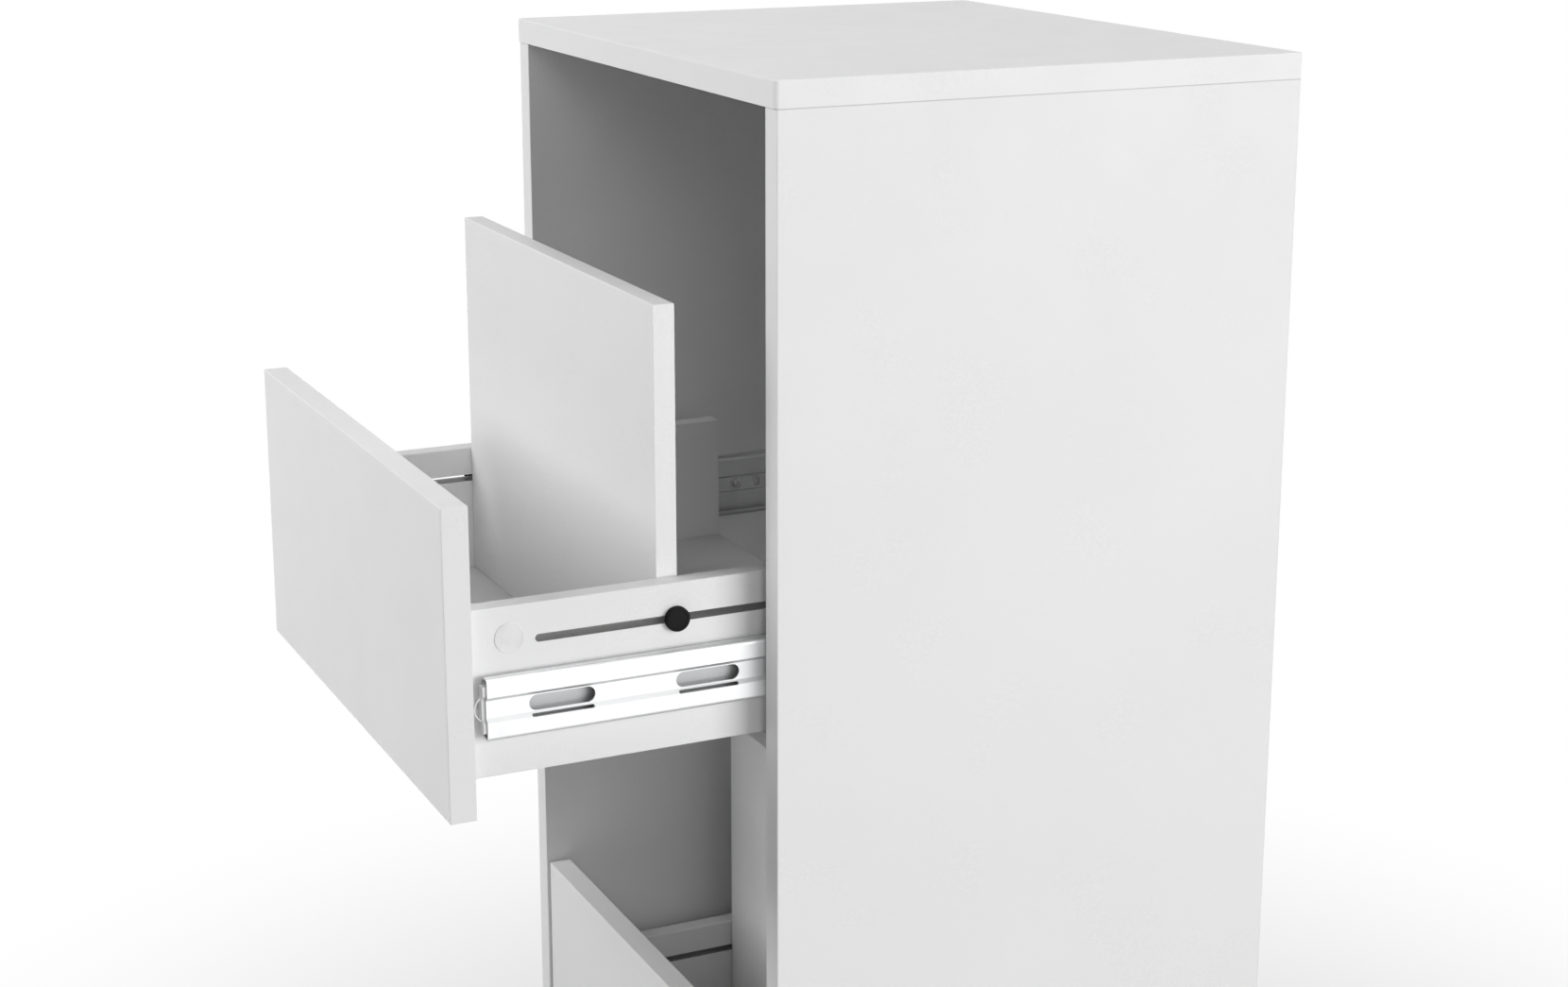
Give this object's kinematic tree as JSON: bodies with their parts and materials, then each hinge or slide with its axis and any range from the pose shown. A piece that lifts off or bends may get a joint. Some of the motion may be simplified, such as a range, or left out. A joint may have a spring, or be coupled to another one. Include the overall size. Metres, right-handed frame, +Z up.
{
  "type": "record storage drawer unit",
  "caption": "Tall open-fronted white cabinet with low-fronted record drawers on ball-bearing slides and sliding divider boards clamped by round knobs.",
  "frame": {"origin": "floor level under the centre of the carcass's depth and width, in the plane of the glides", "axes": "+Z up, -Y towards the drawer fronts, +X to the right seen from the front"},
  "size_m": [0.42, 0.5485, 0.833],
  "materials": {
    "white_board": "white satin foil on board",
    "slide_steel": "zinc-plated rolled sheet",
    "ball_steel": "polished steel balls in sheet cages",
    "screw_steel": "zinc-plated",
    "cam_metal": "zinc die-cast",
    "insert_metal": "turned",
    "white_plastic": "matte moulded",
    "black_plastic": "matte moulded",
    "dowel_wood": "beech, fluted",
    "glide_plastic": "matte moulded"
  },
  "bodies": {
    "carcass": {"top_panel": "white_board", "left_side_panel": "white_board", "right_side_panel": "white_board", "base_panel": "white_board", "back_panel": "white_board", "carcass_dowels": "dowel_wood", "glides": "glide_plastic", "upper_left_cabinet_rail": "slide_steel", "upper_right_cabinet_rail": "slide_steel", "lower_left_cabinet_rail": "slide_steel", "lower_right_cabinet_rail": "slide_steel", "cabinet_rail_screws": "screw_steel"},
    "upper_middle_rails": {"upper_left_middle_rail": "slide_steel", "upper_right_middle_rail": "slide_steel"},
    "upper_outer_cages": {"upper_outer_ball_cages": "ball_steel"},
    "upper_inner_cages": {"upper_inner_ball_cages": "ball_steel"},
    "upper_drawer": {"upper_drawer_front": "white_board", "upper_drawer_left_side": "white_board", "upper_drawer_right_side": "white_board", "upper_drawer_floor": "white_board", "upper_left_drawer_rail": "slide_steel", "upper_right_drawer_rail": "slide_steel", "upper_rail_buffers": "white_plastic", "upper_drawer_rail_screws": "screw_steel", "upper_drawer_cams": "cam_metal", "upper_drawer_cam_bolts": "screw_steel", "upper_drawer_cam_caps": "white_plastic", "upper_drawer_dowels": "dowel_wood"},
    "upper_divider": {"upper_divider_board": "white_board", "upper_divider_nuts": "insert_metal"},
    "upper_left_knob": {"upper_left_knob_head": "black_plastic", "upper_left_knob_stud": "screw_steel"},
    "upper_right_knob": {"upper_right_knob_head": "black_plastic", "upper_right_knob_stud": "screw_steel"},
    "lower_middle_rails": {"lower_left_middle_rail": "slide_steel", "lower_right_middle_rail": "slide_steel"},
    "lower_outer_cages": {"lower_outer_ball_cages": "ball_steel"},
    "lower_inner_cages": {"lower_inner_ball_cages": "ball_steel"},
    "lower_drawer": {"lower_drawer_front": "white_board", "lower_drawer_left_side": "white_board", "lower_drawer_right_side": "white_board", "lower_drawer_floor": "white_board", "lower_left_drawer_rail": "slide_steel", "lower_right_drawer_rail": "slide_steel", "lower_rail_buffers": "white_plastic", "lower_drawer_rail_screws": "screw_steel", "lower_drawer_cams": "cam_metal", "lower_drawer_cam_bolts": "screw_steel", "lower_drawer_cam_caps": "white_plastic", "lower_drawer_dowels": "dowel_wood"},
    "lower_divider": {"lower_divider_board": "white_board", "lower_divider_nuts": "insert_metal"},
    "lower_left_knob": {"lower_left_knob_head": "black_plastic", "lower_left_knob_stud": "screw_steel"},
    "lower_right_knob": {"lower_right_knob_head": "black_plastic", "lower_right_knob_stud": "screw_steel"}
  },
  "joints": [
    {"name": "upper_first_stage", "type": "slide", "parent": "carcass", "child": "upper_middle_rails", "axis": [0, -1, 0], "range_m": [-0.197, 0.003]},
    {"name": "upper_outer_cages_roll", "type": "slide", "parent": "carcass", "child": "upper_outer_cages", "axis": [0, -1, 0], "range_m": [-0.0985, 0.0015]},
    {"name": "upper_second_stage", "type": "slide", "parent": "upper_middle_rails", "child": "upper_drawer", "axis": [0, -1, 0], "range_m": [0, 0.1]},
    {"name": "upper_inner_cages_roll", "type": "slide", "parent": "upper_middle_rails", "child": "upper_inner_cages", "axis": [0, -1, 0], "range_m": [0, 0.05]},
    {"name": "upper_divider_slide", "type": "slide", "parent": "upper_drawer", "child": "upper_divider", "axis": [0, 1, 0], "range_m": [-0.084, 0.138]},
    {"name": "upper_left_knob_turn", "type": "hinge", "parent": "upper_divider", "child": "upper_left_knob", "pos_m": [-0.185, -0.228, 0.52], "axis": [-1, 0, 0], "range_deg": [0, 360]},
    {"name": "upper_right_knob_turn", "type": "hinge", "parent": "upper_divider", "child": "upper_right_knob", "pos_m": [0.185, -0.228, 0.52], "axis": [1, 0, 0], "range_deg": [0, 360]},
    {"name": "lower_first_stage", "type": "slide", "parent": "carcass", "child": "lower_middle_rails", "axis": [0, -1, 0], "range_m": [0, 0.2]},
    {"name": "lower_outer_cages_roll", "type": "slide", "parent": "carcass", "child": "lower_outer_cages", "axis": [0, -1, 0], "range_m": [0, 0.1]},
    {"name": "lower_second_stage", "type": "slide", "parent": "lower_middle_rails", "child": "lower_drawer", "axis": [0, -1, 0], "range_m": [0, 0.1]},
    {"name": "lower_inner_cages_roll", "type": "slide", "parent": "lower_middle_rails", "child": "lower_inner_cages", "axis": [0, -1, 0], "range_m": [0, 0.05]},
    {"name": "lower_divider_slide", "type": "slide", "parent": "lower_drawer", "child": "lower_divider", "axis": [0, 1, 0], "range_m": [-0.084, 0.138]},
    {"name": "lower_left_knob_turn", "type": "hinge", "parent": "lower_divider", "child": "lower_left_knob", "pos_m": [-0.185, -0.031, 0.124], "axis": [-1, 0, 0], "range_deg": [0, 360]},
    {"name": "lower_right_knob_turn", "type": "hinge", "parent": "lower_divider", "child": "lower_right_knob", "pos_m": [0.185, -0.031, 0.124], "axis": [1, 0, 0], "range_deg": [0, 360]}
  ],
  "couplings": [
    {"joint": "upper_outer_cages_roll", "follows": "upper_first_stage", "ratio": 0.5},
    {"joint": "upper_inner_cages_roll", "follows": "upper_second_stage", "ratio": 0.5},
    {"joint": "lower_outer_cages_roll", "follows": "lower_first_stage", "ratio": 0.5},
    {"joint": "lower_inner_cages_roll", "follows": "lower_second_stage", "ratio": 0.5}
  ]
}
